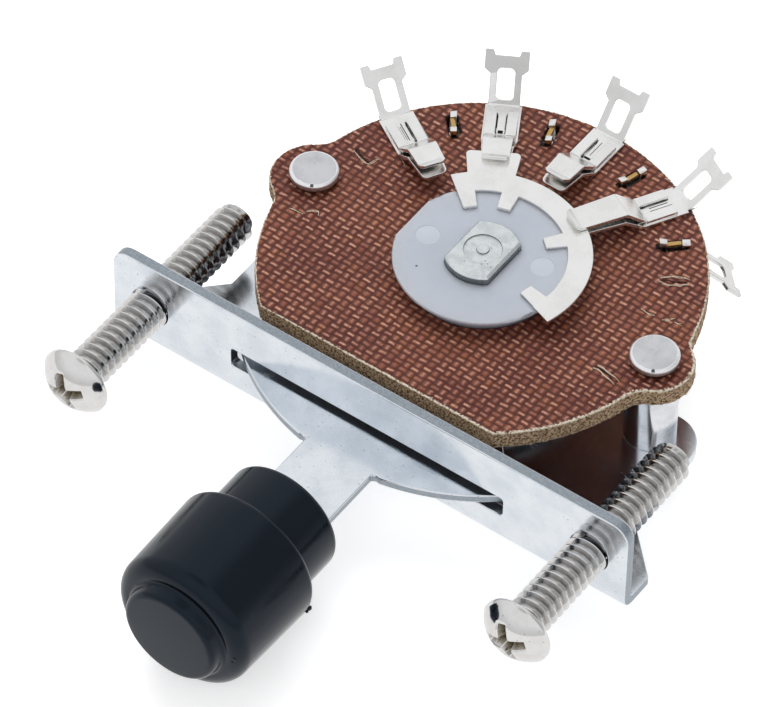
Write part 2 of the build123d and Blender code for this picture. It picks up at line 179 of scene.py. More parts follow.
def reckon_vector(tree, operation, *values):
    return node_in(tree, "ShaderNodeVectorMath", list(enumerate(values)), operation=operation).outputs


def blend_values(tree, share, first, second):
    return node_in(tree, "ShaderNodeMix", [("Factor", share), ("A", first), ("B", second)]).outputs["Result"]


def blend_colours(tree, share, first, second):
    mixed = node_in(tree, "ShaderNodeMix", [("Factor", share), ("A", first), ("B", second)],
                    data_type='RGBA')
    return mixed.outputs["Result"]


def from_range(tree, value, low, high, start=0.0, end=1.0):
    """Value between two limits, spread smoothly over another range."""
    sockets = [("Value", value), ("From Min", low), ("From Max", high), ("To Min", start), ("To Max", end)]
    return node_in(tree, "ShaderNodeMapRange", sockets, interpolation_type='SMOOTHSTEP').outputs["Result"]


def noise(tree, place, scale, detail=2.0, roughness=0.5, distortion=0.0):
    sockets = [("Vector", place), ("Scale", scale), ("Detail", detail), ("Roughness", roughness),
               ("Distortion", distortion)]
    return node_in(tree, "ShaderNodeTexNoise", sockets).outputs["Fac"]


def share_in(tree, name):
    """Reads a share that a mesh keeps for its faces or vertices."""
    return node_in(tree, "ShaderNodeAttribute", attribute_name=name).outputs["Fac"]


def new_material(name):
    material = bpy.data.materials.new(name)
    material.use_nodes = True
    return material, material.node_tree, material.node_tree.nodes["Principled BSDF"]


def give_surface(tree, shader, colour, rough, height, depth, strength):
    """Links a colour, a roughness and a fine relief to a shader."""
    bump = node_in(tree, "ShaderNodeBump", [("Height", height), ("Distance", depth), ("Strength", strength)])
    for socket, value in (("Base Color", colour), ("Roughness", rough), ("Normal", bump.outputs["Normal"])):
        tree.links.new(value, shader.inputs[socket])


def start_group(name, inputs, outputs):
    """A node group with inputs of a name, kind and start value, and outputs that are all values."""
    group = bpy.data.node_groups.new(name, 'ShaderNodeTree')
    for socket, kind, value in inputs:
        made = group.interface.new_socket(name=socket, in_out='INPUT', socket_type=kind)
        if value is not None:
            made.default_value = value
    for socket in outputs:
        group.interface.new_socket(name=socket, in_out='OUTPUT', socket_type="NodeSocketFloat")
    return group, group.nodes.new("NodeGroupInput").outputs, group.nodes.new("NodeGroupOutput").inputs


def surface_marks_group():
    """Clouds, grain, pits and hair scratches, each with its own size, and their height."""
    inputs = [("Vector", "NodeSocketVector", None), ("Cloud Scale", "NodeSocketFloat", 300.0),
              ("Grain Scale", "NodeSocketFloat", 9000.0), ("Scratch Scale", "NodeSocketFloat", 500.0)]
    outputs = ("Clouds", "Grain", "Specks", "Scratches", "Height")
    group, given, put = start_group("surface_marks", inputs, outputs)
    place = given["Vector"]
    clouds = noise(group, place, given["Cloud Scale"], 5.0, roughness=0.6)
    grain = noise(group, place, given["Grain Scale"])
    drawn = node_in(group, "ShaderNodeMapping", [("Vector", place), ("Rotation", (0.3, 0.2, 0.6)),
                                                 ("Scale", (0.12, 1.0, 1.0))]).outputs["Vector"]
    lines = noise(group, drawn, given["Scratch Scale"], 3.0, distortion=0.4)
    away = reckon(group, 'ABSOLUTE', reckon(group, 'SUBTRACT', lines, 0.5))
    hairs = from_range(group, away, 0.0, 0.012, 1.0, 0.0)
    patches = from_range(group, clouds, 0.5, 0.62)
    scratches = reckon(group, 'MULTIPLY', hairs, patches)
    pits = node_in(group, "ShaderNodeTexVoronoi", [("Vector", place), ("Scale", 2400.0)]).outputs
    chosen = node_in(group, "ShaderNodeSeparateColor", [("Color", pits["Color"])]).outputs["Red"]
    chosen = from_range(group, chosen, 0.6, 0.95)
    specks = reckon(group, 'MULTIPLY', chosen, from_range(group, pits["Distance"], 0.08, 0.2, 1.0, 0.0))
    height = reckon(group, 'MULTIPLY_ADD', grain, 0.3, reckon(group, 'MULTIPLY', scratches, -0.7))
    height = reckon(group, 'SUBTRACT', height, specks)
    for socket, value in zip(outputs, (clouds, grain, specks, scratches, height)):
        group.links.new(value, put[socket])
    return group


surface_marks = surface_marks_group()


def plated_metal(name, bright, dull, shine, satin, cloud_scale=260.0, scratch_scale=500.0,
                 relief=0.004 * mm, cut_edge_and_painted_light=None, specked=0.55):
    """Metal whose colour and gloss drift between a bright and a dull state. Where the
    cut_edge_and_painted_light attribute of a mesh is 1, the metal shows a second, rougher colour: a real cut
    edge on most pieces, a painted highlight on the rivet rims and a painted dark, brownish reflection in the
    screw recesses. Where painted_shade is 1, it shows painted shade, nearly black."""
    material, tree, shader = new_material(name)
    shader.inputs["Metallic"].default_value = 1.0
    place = node_in(tree, "ShaderNodeTexCoord").outputs["Object"]
    scales = [("Cloud Scale", cloud_scale), ("Scratch Scale", scratch_scale)]
    marks = node_in(tree, "ShaderNodeGroup", [("Vector", place)] + scales, node_tree=surface_marks).outputs
    dulled = from_range(tree, marks["Clouds"], 0.35, 0.7)
    speckled = from_range(tree, marks["Grain"], 0.3, 0.75, -0.15, 0.3)
    share = reckon(tree, 'ADD', dulled, speckled)
    colour = blend_colours(tree, share, bright + (1.0,), dull + (1.0,))
    stained = reckon(tree, 'MULTIPLY', marks["Specks"], specked)
    colour = blend_colours(tree, stained, colour, tuple(0.3 * part for part in dull) + (1.0,))
    rough = from_range(tree, marks["Clouds"], 0.3, 0.75, shine, satin)
    rough = reckon(tree, 'ADD', rough, reckon(tree, 'MULTIPLY', marks["Scratches"], 0.12))
    # The second colour is a real cut edge on most pieces, and painted light on the rivet rims and in the
    # screw recesses.
    if cut_edge_and_painted_light:
        cut = share_in(tree, "cut_edge_and_painted_light")
        edge_and_painted_light_share = reckon(tree, 'MULTIPLY', cut, from_range(tree, marks["Grain"], 0.3, 0.6, 0.75, 1.0))
        colour = blend_colours(tree, edge_and_painted_light_share, colour, cut_edge_and_painted_light + (1.0,))
        rough = reckon(tree, 'MAXIMUM', rough, reckon(tree, 'MULTIPLY', cut, 0.36))
    # Painted shade: where painted_shade is 1, the metal turns nearly black.
    colour = blend_colours(tree, share_in(tree, "painted_shade"), colour, (0.02, 0.02, 0.022, 1.0))
    give_surface(tree, shader, colour, rough, marks["Height"], relief, 0.6)
    return material


frame_edge = 0.09 * mm
strip_back = 1.0 * mm
zinc = plated_metal("zinc_plating", (0.83, 0.865, 0.905), (0.70, 0.75, 0.80), 0.13, 0.24,
                    relief=0.008 * mm, cut_edge_and_painted_light=(0.30, 0.34, 0.38))
metal_piece("mounting_frame", zinc, frame_edge,
            cut=lambda middle, normal: abs(normal.y) < 0.3 and middle.y < strip_back)

# Detent spring, thrust washer and retaining clip
# A bowed leaf of blue spring steel held behind the floor plate's two tabs, and a washer and a snap ring
# punched from thinner spring steel, which keep the shaft in the floor plate.

spring_edge = 0.04 * mm
small_edge = 0.05 * mm
spring_steel = plated_metal("spring_steel", (0.42, 0.43, 0.46), (0.24, 0.25, 0.28), 0.22, 0.38,
                            scratch_scale=900.0)
for node, slot, edge in (("detent_spring", "spring_steel", spring_edge),
                         ("retaining_clip", "spring_steel", spring_edge),
                         ("thrust_washer", "turned_steel", small_edge)):
    metal_piece(node, spring_steel, edge)

# Lever blade
# A flat fan of zinc plated steel with a narrow tongue, stamped and tumbled, so its edges are rounder
# than the frame's. It turns with the shaft and slides in the frame's slot.

blade_edge = 0.12 * mm
metal_piece("lever_blade", zinc, blade_edge, cut=lambda middle, normal: abs(normal.z) < 0.3)

# Pivot shaft and its spacer
# Turned from steel bar with two flats. Its end is staked over the rotor, which leaves a ring, a small
# boss beside the middle and a rough, speckled face. Its faces carry painted shade, strongest on the
# sides above the rotor and in the staked ring.


def turned_metal(name, bright, dull, shine, satin):
    """Turned steel with fine rings round an upright axis through the pivot."""
    material = plated_metal(name, bright, dull, shine, satin,
                            cloud_scale=1100.0, relief=0.02 * mm, specked=0.9)
    tree = material.node_tree
    place = node_in(tree, "ShaderNodeTexCoord").outputs["Object"]
    off = reckon_vector(tree, 'SUBTRACT', place, (0.0, pivot_y, 0.0))[0]
    flat = reckon_vector(tree, 'MULTIPLY', off, (1.0, 1.0, 0.0))[0]
    out = reckon_vector(tree, 'LENGTH', flat)["Value"]
    rings = node_in(tree, "ShaderNodeTexNoise", [("W", out), ("Scale", 7000.0), ("Detail", 1.0)],
                    noise_dimensions='1D').outputs["Fac"]
    shader = tree.nodes["Principled BSDF"]
    first = shader.inputs["Normal"].links[0].from_node
    turned = node_in(tree, "ShaderNodeBump", [("Height", rings), ("Distance", 0.03 * mm), ("Strength", 0.6),
                                              ("Normal", first.outputs["Normal"])])
    tree.links.new(turned.outputs["Normal"], shader.inputs["Normal"])
    return material


pivot_y = 15.3 * mm
above_rotor = 6.1 * mm
staked_ring = 1.6 * mm
top_shade = 0.12
side_shade = 0.68
groove_shade = 0.85
turned_steel = turned_metal("turned_steel", (0.87, 0.91, 0.91), (0.72, 0.77, 0.78), 0.2, 0.34)
shaft = metal_piece("pivot_shaft", turned_steel, small_edge)


def shaft_shade(face):
    """Share of painted shade on a face: deepest in the staked groove, strong on the sides above the rotor, a
    little elsewhere.
    """
    highest = max(shaft.data.vertices[index].co.z for index in face.vertices)
    if abs(face.normal.z) >= 0.5 or highest <= above_rotor:
        return top_shade
    return groove_shade if (face.center.xy - Vector((0, pivot_y))).length < staked_ring else side_shade


mark_faces(shaft, "painted_shade", shaft_shade)
metal_piece("shaft_spacer", turned_steel, small_edge)

# Knob
# Moulded in glossy black plastic: a collar, a barrel that narrows a little, and a low button on its
# rounded nose. It is pushed on the tongue, and two nubs of flash are left on the barrel.


def black_plastic_material():
    material, tree, shader = new_material("black_plastic")
    shader.inputs["IOR"].default_value = 1.40
    shader.inputs["Specular Tint"].default_value = (0.60, 0.77, 1.0, 1.0)
    place = node_in(tree, "ShaderNodeTexCoord").outputs["Object"]
    marks = node_in(tree, "ShaderNodeGroup", [("Vector", place), ("Cloud Scale", 130.0)],
                    node_tree=surface_marks)
    clouds = marks.outputs["Clouds"]
    colour = blend_colours(tree, clouds, (0.001, 0.002, 0.004, 1.0), (0.002, 0.0035, 0.007, 1.0))
    rough = from_range(tree, clouds, 0.3, 0.7, 0.13, 0.2)
    give_surface(tree, shader, colour, rough, clouds, 0.01 * mm, 0.5)
    return material


black_plastic = black_plastic_material()
knob = joined_copy("lever_knob", "lever_knob_finished")
nub_roughness = 0.03 * mm
nubs = [((5.68, -14.92, -2.80), (0.16, 0.20, 0.24)), ((5.60, -15.15, -3.02), (0.13, 0.13, 0.16)),
        ((5.15, -23.70, -0.40), (0.18, 0.10, 0.20)), ((5.02, -23.74, -0.78), (0.12, 0.09, 0.12))]
for middle, size in nubs:
    bpy.ops.object.select_all(action='DESELECT')
    bpy.ops.mesh.primitive_ico_sphere_add(subdivisions=3, radius=1.0)
    nub = bpy.context.active_object
    only(nub)
    bpy.ops.object.mode_set(mode='EDIT')
    bpy.ops.mesh.select_all(action='SELECT')
    bpy.ops.transform.resize(value=tuple(part * mm for part in size))
    bpy.ops.transform.translate(value=tuple(part * mm for part in middle))
    bpy.ops.transform.vertex_random(offset=nub_roughness, seed=3)
    bpy.ops.object.mode_set(mode='OBJECT')
    only(knob)
    nub.select_set(True)
    bpy.ops.object.join()
only(knob)
bpy.ops.object.shade_smooth_by_angle(angle=math.radians(30))
stands_for(knob, "lever_knob", black_plastic)

# Spacer posts
# Plain plated steel tubes, cut to length, that hold the wafer above the floor plate. A rivet through
# each clamps it between the two.

post_steel = plated_metal("post_steel", (0.80, 0.81, 0.83), (0.66, 0.67, 0.70), 0.10, 0.18, cloud_scale=500.0)
for side in ("left", "right"):
    metal_piece("spacer_post_" + side, post_steel, small_edge)

# Contact wafer
# A board punched from laminated cotton cloth in brown resin. Both faces show the plain weave, and the cut
# edge is pale, ragged and flecked, with loose fibres. Slits that hold no clip are only half punched. The
# thread crests carry a painted highlight, and the walls of the holes and the cracks of the slits painted
# shade.

warp_pitch = 0.75 * mm
weft_pitch = 0.576 * mm
voxel = 0.15 * mm
weave_relief = 0.045 * mm
ragged_depth = 0.10 * mm
face_drop = 0.005 * mm
board_top = 4.6 * mm
slot_zone = 17.0 * mm
slots_from = pivot_y + 5 * mm
bore_zone = 8 * mm
fray_least = 0.2 * mm
fray_more = 0.3 * mm
fray_span = 20 * mm
fibre_zone = 1.0 * mm
fibre_root = 0.05 * mm
stroke_stray = 0.11


def crown(share):
    """Height across one thread, from 0 at its sides to 1 on its top."""
    return 1.0 - (2.0 * share - 1.0) ** 2


def weave_height(x, y):
    column = math.floor(x / warp_pitch)
    row = math.floor(y / weft_pitch)
    across = crown(x / warp_pitch - column)
    along = crown(y / weft_pitch - row)
    if (column + row) % 2 == 0:
        return along * (0.35 + 0.65 * across)
    return across * (0.35 + 0.65 * along)


def share_attribute(mesh, name, shares):
    """Keeps one share from 0 to 1 for each vertex."""
    attribute = mesh.attributes.new(name, 'FLOAT', 'POINT')
    attribute.data.foreach_set("value", shares)


def woven_board():
    """The board as an even mesh, with threads raised on its faces and its cut edge left ragged."""
    board = joined_copy("contact_wafer", "contact_wafer_finished")
    remesh = board.modifiers.new("even_mesh", 'REMESH')
    remesh.mode = 'VOXEL'
    remesh.voxel_size = voxel
    apply_modifiers(board)
    mesh = board.data
    spread = random.Random(11)
    normals = [vertex.normal.copy() for vertex in mesh.vertices]
    middle = Vector((0.0, pivot_y))
    inside = [(vertex.co.xy - middle).length < (slot_zone if vertex.co.y > slots_from else bore_zone)
              for vertex in mesh.vertices]
    rim = [vertex.co.xy.to_3d() for vertex, normal, within in zip(mesh.vertices, normals, inside)
           if abs(normal.z) < 0.5 and not within]
    tree = KDTree(len(rim))
    for index, place in enumerate(rim):
        tree.insert(place, index)
    tree.balance()
    frayed, painted_shade = [], []
    for vertex, normal, within in zip(mesh.vertices, normals, inside):
        on_face = abs(normal.z) > 0.9
        # Painted shade on the walls of the bore and the clip slots.
        painted_shade.append(0.9 if within and not on_face else 0.0)
        if on_face:
            to_front_right = min(1.0, max(0.0, (vertex.co.x - vertex.co.y + pivot_y) / fray_span))
            gone = tree.find(vertex.co.xy.to_3d())[2] / (fray_least + fray_more * to_front_right)
            frayed.append(max(0.0, 1.0 - gone) * 0.9)
            lower = (1.0 - weave_height(vertex.co.x, vertex.co.y)) * weave_relief + face_drop
            vertex.co.z -= math.copysign(lower, normal.z)
        elif within:
            frayed.append(0.0)
        else:
            frayed.append(1.0 if abs(normal.z) < 0.6 else 0.92)
            flat = Vector((normal.x, normal.y, 0.0))
            vertex.co -= flat * spread.random() * ragged_depth
    share_attribute(mesh, "frayed", frayed)
    share_attribute(mesh, "painted_shade", painted_shade)
    bpy.ops.object.shade_smooth()
    return board


def strands(name, lines, radius, frayed, painted_shade):
    """Thin round strands along the given lines, as one mesh."""
    curve = bpy.data.curves.new(name, 'CURVE')
    curve.dimensions = '3D'
    curve.bevel_depth = radius
    curve.bevel_resolution = 1
    curve.use_fill_caps = True
    curve.resolution_u = 3
    for line in lines:
        spline = curve.splines.new('NURBS')
        spline.points.add(len(line) - 1)
        spline.use_endpoint_u = True
        spline.order_u = 3
        for point, place in zip(spline.points, line):
            point.co = tuple(place) + (1.0,)
            point.radius = 0.55 if place in (line[0], line[-1]) else 1.0
    holder = bpy.data.objects.new(name, curve)
    bpy.context.collection.objects.link(holder)
    only(holder)
    bpy.ops.object.convert(target='MESH')
    made = bpy.context.active_object
    bpy.ops.object.mode_set(mode='EDIT')
    bpy.ops.mesh.select_all(action='SELECT')
    bpy.ops.mesh.remove_doubles(threshold=0.0005 * mm)
    bpy.ops.object.mode_set(mode='OBJECT')
    share_attribute(made.data, "frayed", [frayed] * len(made.data.vertices))
    share_attribute(made.data, "painted_shade", [painted_shade] * len(made.data.vertices))
    bpy.ops.object.shade_smooth()
    return made


def loose_fibres(board, amount):
    """Fibres that stand off the cut edge, each from a place on the rim."""
    spread = random.Random(5)
    starts = [vertex for vertex in board.data.vertices
              if abs(vertex.normal.z) < 0.6 and board_top - fibre_zone < vertex.co.z]
    lines = []
    for vertex in spread.sample(starts, amount):
        out = Vector((vertex.normal.x, vertex.normal.y, 0.0)).normalized()
        side = Vector((-out.y, out.x, 0.0)) * spread.choice((-1, 1))
        length = spread.uniform(0.25, 0.75) * mm
        first = vertex.co - out * fibre_root
        middle = first + out * spread.uniform(0.08, 0.16) * mm + side * length * 0.5
        middle.z += spread.uniform(-0.05, 0.12) * mm
        last = middle + side * length * 0.5 - out * spread.uniform(0.0, 0.2) * mm
        last.z += spread.uniform(-0.12, 0.12) * mm
        lines.append([tuple(first), tuple(middle), tuple(last)])
    return lines


def frayed_line(points, seed):
    """Line on the upper face that strays a little to both sides, with a point between each two given."""
    spread = random.Random(seed * 100 + int(abs(points[0][0]) * 7))
    line = []
    for (x, y), (next_x, next_y) in zip(points, points[1:] + points[-1:]):
        for share in (0.0, 0.5):
            across = spread.uniform(-stroke_stray, stroke_stray)
            line.append(((x + (next_x - x) * share + across) * mm, (y + (next_y - y) * share - across) * mm,
                         board_top + spread.uniform(-0.03, 0.02) * mm))
    return line[:-1]


def cloth_weave_group():
    """Plain weave on the XY plane: its height, the crests of its threads, which take a pale colour and a
    painted highlight, and a chance per crossing.
    """
    inputs = [("Vector", "NodeSocketVector", None), ("Warp Pitch", "NodeSocketFloat", None),
              ("Weft Pitch", "NodeSocketFloat", None)]
    outputs = ("Height", "Crest", "Thread")
    group, given, put = start_group("cloth_weave", inputs, outputs)
    place = given["Vector"]
    wander = node_in(group, "ShaderNodeTexNoise", [("Vector", place), ("Scale", 420.0)]).outputs["Color"]
    shift = reckon_vector(group, 'SUBTRACT', wander, (0.5, 0.5, 0.5))[0]
    shift = reckon_vector(group, 'MULTIPLY', shift, (thread_stray, thread_stray, thread_stray))[0]
    moved = reckon_vector(group, 'ADD', place, shift)[0]
    axes = node_in(group, "ShaderNodeSeparateXYZ", [("Vector", moved)]).outputs
    offs, crowns, cells = [], [], []
    for axis, pitch in (("X", "Warp Pitch"), ("Y", "Weft Pitch")):
        counted = reckon(group, 'DIVIDE', axes[axis], given[pitch])
        cells.append(reckon(group, 'FLOOR', counted))
        off = reckon(group, 'ABSOLUTE', reckon(group, 'SUBTRACT', reckon(group, 'FRACT', counted), 0.5))
        offs.append(off)
        crowns.append(reckon(group, 'MULTIPLY_ADD', reckon(group, 'MULTIPLY', off, off), -4.0, 1.0))
    warp_up = reckon(group, 'FLOORED_MODULO', reckon(group, 'ADD', *cells), 2.0)
    weft = reckon(group, 'MULTIPLY', crowns[1], reckon(group, 'MULTIPLY_ADD', crowns[0], 0.65, 0.35))
    warp = reckon(group, 'MULTIPLY', crowns[0], reckon(group, 'MULTIPLY_ADD', crowns[1], 0.65, 0.35))
    height = blend_values(group, warp_up, weft, warp)
    across = blend_values(group, warp_up, offs[1], offs[0])
    along = blend_values(group, warp_up, offs[0], offs[1])
    crest = reckon(group, 'MULTIPLY', from_range(group, across, 0.0, 0.25, 1.0, 0.0),
                   from_range(group, along, 0.28, 0.5, 1.0, 0.0))
    crest = reckon(group, 'MULTIPLY', crest, reckon(group, 'MULTIPLY_ADD', warp_up, -0.45, 1.0))
    cell = node_in(group, "ShaderNodeCombineXYZ", [("X", cells[0]), ("Y", cells[1])]).outputs["Vector"]
    chance = node_in(group, "ShaderNodeTexWhiteNoise", [("Vector", cell)], noise_dimensions='2D').outputs
    for socket, value in zip(outputs, (height, crest, chance["Value"])):
        group.links.new(value, put[socket])
    return group


thread_stray = 0.36 * mm
cloth_weave = cloth_weave_group()
resin_colours = ((0.165, 0.038, 0.023, 1.0), (0.240, 0.068, 0.036, 1.0))
resin_orange = (0.29, 0.085, 0.025, 1.0)
gap_colour = (0.045, 0.011, 0.008, 1.0)
pale_crest_and_highlight_colour = (0.70, 0.39, 0.27, 1.0)
tan_colours = ((0.11, 0.052, 0.026, 1.0), (0.70, 0.51, 0.32, 1.0))
cotton_colours = ((0.42, 0.27, 0.15, 1.0), (0.82, 0.74, 0.60, 1.0))
painted_shade_colour = (0.022, 0.008, 0.006, 1.0)


def laminate_material():
    """Brown resin over woven threads, with pale cotton where the board is cut."""
    material, tree, shader = new_material("cloth_laminate")
    shader.inputs["IOR"].default_value = 1.38
    place = node_in(tree, "ShaderNodeTexCoord").outputs["Object"]
    weave = node_in(tree, "ShaderNodeGroup", [("Vector", place), ("Warp Pitch", warp_pitch),
                                              ("Weft Pitch", weft_pitch)], node_tree=cloth_weave).outputs
    broad = noise(tree, place, 180.0, 4.0)
    fibres = noise(tree, place, 5200.0, 3.0)
    spots = noise(tree, place, 900.0, 3.0)
    flecks = noise(tree, place, 5000.0, 3.0, roughness=0.7)
    resin = blend_colours(tree, from_range(tree, broad, 0.35, 0.65), *resin_colours)
    orange = reckon(tree, 'MULTIPLY', from_range(tree, spots, 0.55, 0.68), 0.6)
    resin = blend_colours(tree, orange, resin, resin_orange)
    gap = from_range(tree, weave["Height"], 0.0, 0.85, 1.0, 0.0)
    woven = blend_colours(tree, reckon(tree, 'MULTIPLY', gap, 0.85), resin, gap_colour)
    # Painted highlight: the crests turn towards a pale colour, partly the pale thread and partly painted
    # sheen.
    lit = reckon(tree, 'MULTIPLY', weave["Crest"], from_range(tree, weave["Thread"], 0.0, 0.85, 0.2, 1.0))
    lit = reckon(tree, 'MULTIPLY', lit, from_range(tree, fibres, 0.32, 0.55, 0.35, 1.0))
    woven = blend_colours(tree, lit, woven, pale_crest_and_highlight_colour)
    frayed = share_in(tree, "frayed")
    tan = blend_colours(tree, from_range(tree, flecks, 0.38, 0.60), *tan_colours)
    cotton = blend_colours(tree, from_range(tree, flecks, 0.35, 0.5), *cotton_colours)
    cut = blend_colours(tree, from_range(tree, frayed, 0.93, 1.0), cotton, tan)
    ragged = reckon(tree, 'MULTIPLY_ADD', flecks, 1.6, reckon(tree, 'SUBTRACT', frayed, 0.8))
    ragged = from_range(tree, ragged, 0.42, 0.62)
    colour = blend_colours(tree, ragged, woven, cut)
    # Painted shade in the holes and cracks.
    colour = blend_colours(tree, share_in(tree, "painted_shade"), colour, painted_shade_colour)
    relief = reckon(tree, 'MULTIPLY_ADD', fibres, 0.35, weave["Height"])
    relief = blend_values(tree, ragged, relief, flecks)
    rough = from_range(tree, ragged, 0.0, 1.0, 0.45, 0.9)
    give_surface(tree, shader, colour, rough, relief, 0.09 * mm, 0.8)
    return material


laminate = laminate_material()
board = woven_board()
fibre_count = 46
fibre_radius = 0.02 * mm
pale_radius = 0.028 * mm
dark_radius = 0.05 * mm
pale_share = 0.92
pale_marks = [[(-15.12, 19.3), (-14.17, 18.94), (-13.27, 18.82), (-13.13, 19.95)],
              [(-15.55, 11.37), (-15.01, 11.5), (-14.45, 11.65)],
              [(-14.3, 11.9), (-14.14, 12.28), (-13.51, 12.48), (-13.27, 12.05)],
              [(11.64, 22.18), (12.58, 22.24), (13.34, 22.76), (13.79, 23.33)],
              [(11.61, 22.43), (12.08, 22.96), (12.86, 23.47), (13.56, 23.8)],
              [(12.21, 19.1), (12.98, 18.91), (13.53, 19.06)], [(14.2, 19.0), (14.49, 19.14), (14.88, 19.8)],
              [(15.1, 19.4), (15.71, 19.53)], [(12.6, 11.98), (13.3, 11.97), (14.12, 11.71), (14.89, 11.53)],
              [(12.71, 12.42), (13.54, 12.28), (14.38, 12.14), (15.03, 12.0)]]
# Dark lines of painted shade in the cracks of the half punched slits.
dark_marks = [[(-15.1, 19.5), (-14.2, 19.12), (-13.35, 19.05)],
              [(-15.0, 19.62), (-14.3, 19.25), (-13.6, 19.2)],
              [(12.65, 12.2), (13.42, 12.12), (14.25, 11.92), (14.95, 11.78)],
              [(11.9, 22.5), (12.7, 22.8), (13.5, 23.4)]]
pale_lines = [frayed_line(line, seed) for line in pale_marks for seed in (1, 2)]
dark_lines = [frayed_line(line, 3) for line in dark_marks]
pieces = [strands("loose_fibres", loose_fibres(board, fibre_count), fibre_radius, pale_share, 0.0),
          strands("pale_marks", pale_lines, pale_radius, pale_share, 0.0),
          strands("dark_marks", dark_lines, dark_radius, 0.0, 1.0)]
only(board)
for piece in pieces:
    piece.select_set(True)
bpy.ops.object.join()
stands_for(board, "contact_wafer", laminate)

# Rotor halves
# Two thin discs moulded in natural nylon, milky and a little translucent, pressed together on the
# shaft's flats. Each has two shallow round moulding marks, and the upper one has a small pit.


def nylon_material():
    material, tree, shader = new_material("natural_nylon")
    for socket, value in (("IOR", 1.53), ("Subsurface Weight", 0.8), ("Subsurface Radius", (1.0, 1.0, 1.0)),
                          ("Subsurface Scale", 0.9 * mm)):
        shader.inputs[socket].default_value = value
    place = node_in(tree, "ShaderNodeTexCoord").outputs["Object"]
    marks = node_in(tree, "ShaderNodeGroup", [("Vector", place), ("Cloud Scale", 330.0)],
                    node_tree=surface_marks)
    clouds = marks.outputs["Clouds"]
    colour = blend_colours(tree, clouds, (0.505, 0.545, 0.615, 1.0), (0.60, 0.635, 0.705, 1.0))
    moulded = reckon(tree, 'MULTIPLY', share_in(tree, "moulded"), 0.25)
    colour = blend_colours(tree, moulded, colour, (0.86, 0.90, 0.96, 1.0))
    off = reckon_vector(tree, 'DISTANCE', place, rotor_pit)["Value"]
    pit = from_range(tree, off, 0.07 * mm, 0.13 * mm, 0.85, 0.0)
    colour = blend_colours(tree, pit, colour, (0.05, 0.05, 0.06, 1.0))
    rough = from_range(tree, clouds, 0.3, 0.7, 0.30, 0.45)
    give_surface(tree, shader, colour, rough, clouds, 0.02 * mm, 0.5)
    return material


def on_mark_circle(angle):
    turned = math.radians(angle)
    return Vector((mark_circle * math.cos(turned), pivot_y + mark_circle * math.sin(turned)))


rotor_pit = (-3.455 * mm, 11.382 * mm, 6.0 * mm)
mark_circle = 4.7 * mm
mark_reach = 1.0 * mm
mark_depth = 0.2 * mm
mark_rim = 0.08 * mm
mark_floor = 0.3
mark_middles = [on_mark_circle(angle) for angle in (-171, 22)]
nylon = nylon_material()
for half in ("upper", "lower"):
    node = half + "_rotor_half"
    disc = joined_copy(node, node + "_finished")
    break_edges(disc, small_edge)
    low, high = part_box(node)
    face = high.z if half == "upper" else low.z
    inward = -1.0 if half == "upper" else 1.0
    shares = []
    for vertex in disc.data.vertices:
        in_mark = any((vertex.co.xy - middle).length < mark_reach for middle in mark_middles)
        depth = (vertex.co.z - face) * inward
        shares.append(1.0 if in_mark and mark_rim < depth < mark_depth else 0.0)
        if in_mark and depth < mark_depth:
            vertex.co.z = face + inward * depth * mark_floor
    share_attribute(disc.data, "moulded", shares)
    stands_for(disc, node, nylon)

# Contact rings
# Punched from silver plated brass. Each is held on its rotor half by four fingers with bent tips, and
# its outer tab runs between the leaves of the clips.

silver = plated_metal("silver_plating", (0.91, 0.905, 0.89), (0.85, 0.845, 0.825), 0.18, 0.30,
                      cloud_scale=420.0, scratch_scale=800.0, cut_edge_and_painted_light=(0.60, 0.36, 0.09), specked=0.12)
for face in ("upper", "lower"):
    metal_piece(face + "_contact_ring", silver, small_edge)

# Terminals
# Clips folded from silver plated brass strip, with two springy leaves on the ring, a staple through the wafer
# and a soldering lug, painted darker as a painted dim reflection. Four stand on each face. The staples are
# slit, the slits drawn as thin dark bars of painted shade, and the feet of the lower clips stand unevenly on
# the upper face, cut through to the brass, with a bar of it between them and a bar of painted shade in the
# hole beside them.

clip_edge = 0.04 * mm
staple_middle = 15.1 * mm
staple_top = 4.9 * mm
upper_angles = (148.8, 119.5, 89.4, 60.0)
lower_angles = (133.8, 104.5, 74.4, 45.0)
shaded_staple_slits = (((0.0, 0.02, 1.9, 0.07), (-0.1, 0.17, 1.5, 0.04)),
                ((-1.05, 0.0, 0.34, 0.42),),
                ((0.1, 0.0, 1.7, 0.05), (-1.12, 0.0, 0.22, 0.55)),
                ((0.1, -0.19, 1.9, 0.05), (0.0, 0.12, 1.6, 0.06)))
shade_bar_height = 0.03 * mm


def bar_on(clip, angle, along, across, size, height, cut_edge_and_painted_light=0.0, painted_shade=0.0):
    """Joins a small bar to a clip, in the clip's direction, at a place along and across its staple."""
    bpy.ops.object.select_all(action='DESELECT')
    bpy.ops.mesh.primitive_cube_add(size=1.0)
    bar = bpy.context.active_object
    bpy.ops.object.mode_set(mode='EDIT')
    bpy.ops.mesh.select_all(action='SELECT')
    bpy.ops.transform.resize(value=size)
    bpy.ops.mesh.bevel(offset=min(size) * 0.2, segments=2, affect='EDGES')
    bpy.ops.object.mode_set(mode='OBJECT')
    for name, share in (("cut_edge_and_painted_light", cut_edge_and_painted_light), ("painted_shade", painted_shade)):
        attribute = bar.data.attributes.new(name, 'FLOAT', 'CORNER')
        attribute.data.foreach_set("value", [share] * len(attribute.data))
    bpy.ops.object.shade_smooth_by_angle(angle=math.radians(50))
    bar.data.materials.append(clip.data.materials[0])
    turned = Matrix.Translation((0, pivot_y, 0)) @ Matrix.Rotation(math.radians(angle), 4, 'Z')
    bar.data.transform(turned @ Matrix.Translation((staple_middle + along, across, height)))
    only(clip)
    bar.select_set(True)
    bpy.ops.object.join()


